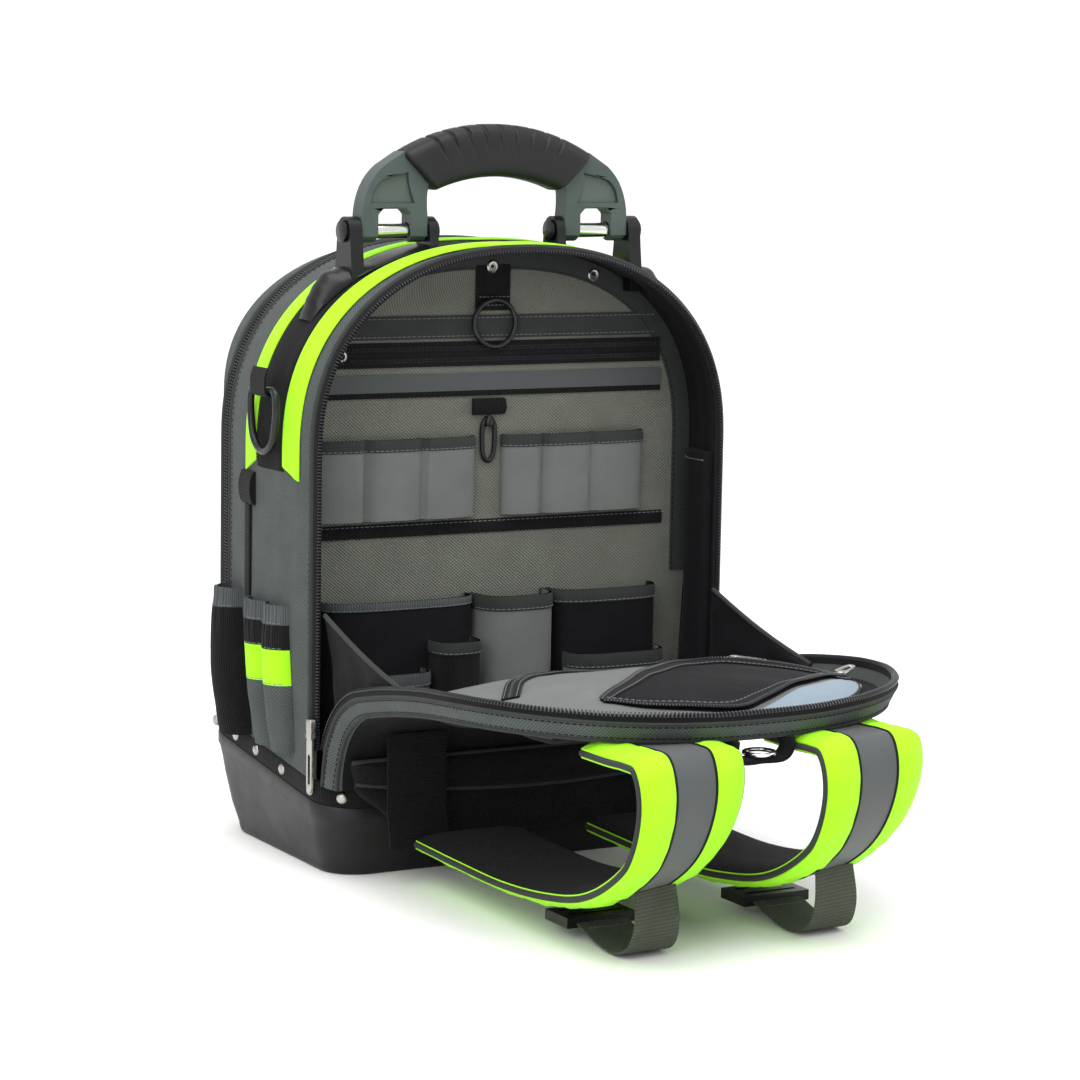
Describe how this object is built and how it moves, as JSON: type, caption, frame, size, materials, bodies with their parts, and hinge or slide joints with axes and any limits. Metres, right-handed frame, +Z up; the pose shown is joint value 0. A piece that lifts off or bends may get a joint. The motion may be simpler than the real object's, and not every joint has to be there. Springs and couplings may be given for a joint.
{
  "type": "tool backpack",
  "caption": "Tool backpack on a moulded base tub, its back panel unzipped and folded down to show an upright divider with pockets, with a swinging carrying handle",
  "frame": {"origin": "centre of the base tub's underside, on the surface it stands on", "axes": "+X to the right of someone who looks into the open compartment, -Y out of the opening, +Z up"},
  "size_m": [0.3756, 0.5464, 0.529],
  "materials": {
    "tub_plastic": "moulded satin",
    "black_fabric": "woven matt",
    "gusset_fabric": "heavy plain weave",
    "lime_fabric": "bright woven",
    "grey_fabric": "woven matt",
    "pocket_fabric": "woven matt",
    "reflective_tape": "retroreflective tape",
    "pad_fabric": "spacer mesh over foam",
    "webbing": "ribbed webbing",
    "fitting_plastic": "moulded satin",
    "steel": "bright turned",
    "nickel": "plated, worn",
    "arm_plastic": "moulded satin",
    "grip_rubber": "soft matt"
  },
  "bodies": {
    "bag": {"base_tub": "tub_plastic", "rim_strip": "black_fabric", "front_zip": "black_fabric", "rear_zip": "black_fabric", "divider_zip": "black_fabric", "divider_band": "black_fabric", "top_tab": "black_fabric", "row_pocket_left": "black_fabric", "row_pocket_right": "black_fabric", "cup_pocket": "black_fabric", "wall_pocket": "black_fabric", "flap_panel": "black_fabric", "flap_zip": "black_fabric", "gusset_left": "black_fabric", "gusset_right": "black_fabric", "anchor_webbing_left": "black_fabric", "anchor_webbing_right": "black_fabric", "haul_loop": "black_fabric", "pen_pocket": "black_fabric", "sleeve_front": "black_fabric", "sleeve_rear": "black_fabric", "ring_loop": "black_fabric", "clip_loop": "black_fabric", "tape_strap": "black_fabric", "hook_loop": "black_fabric", "body_shell": "gusset_fabric", "rear_panel": "gusset_fabric", "flap_boxing": "gusset_fabric", "lime_strip_front": "lime_fabric", "lime_strip_rear": "lime_fabric", "shoulder_strap_left": "lime_fabric", "shoulder_strap_right": "lime_fabric", "divider_panel": "grey_fabric", "round_pocket": "grey_fabric", "flap_pocket": "grey_fabric", "upper_pocket_left": "pocket_fabric", "upper_pocket_right": "pocket_fabric", "row_pocket_centre": "pocket_fabric", "front_pocket": "pocket_fabric", "reflective_strip": "reflective_tape", "back_pad_left": "pad_fabric", "back_pad_right": "pad_fabric", "lumbar_pad": "pad_fabric", "strap_loop_left": "webbing", "strap_loop_right": "webbing", "ladder_lock_left": "fitting_plastic", "ladder_lock_right": "fitting_plastic", "o_ring": "fitting_plastic", "snap_hook": "fitting_plastic", "bracket_left": "fitting_plastic", "bracket_right": "fitting_plastic", "pivot_pin_left": "steel", "pivot_pin_right": "steel", "d_ring": "steel", "haul_ring": "steel", "zip_slider": "nickel"},
    "handle": {"handle_frame": "arm_plastic", "handle_grip": "grip_rubber"}
  },
  "joints": [
    {"name": "handle_pivot", "type": "hinge", "parent": "bag", "child": "handle", "pos_m": [0, -0.024, 0.452], "axis": [1, 0, 0], "range_deg": [-60, 60]}
  ]
}
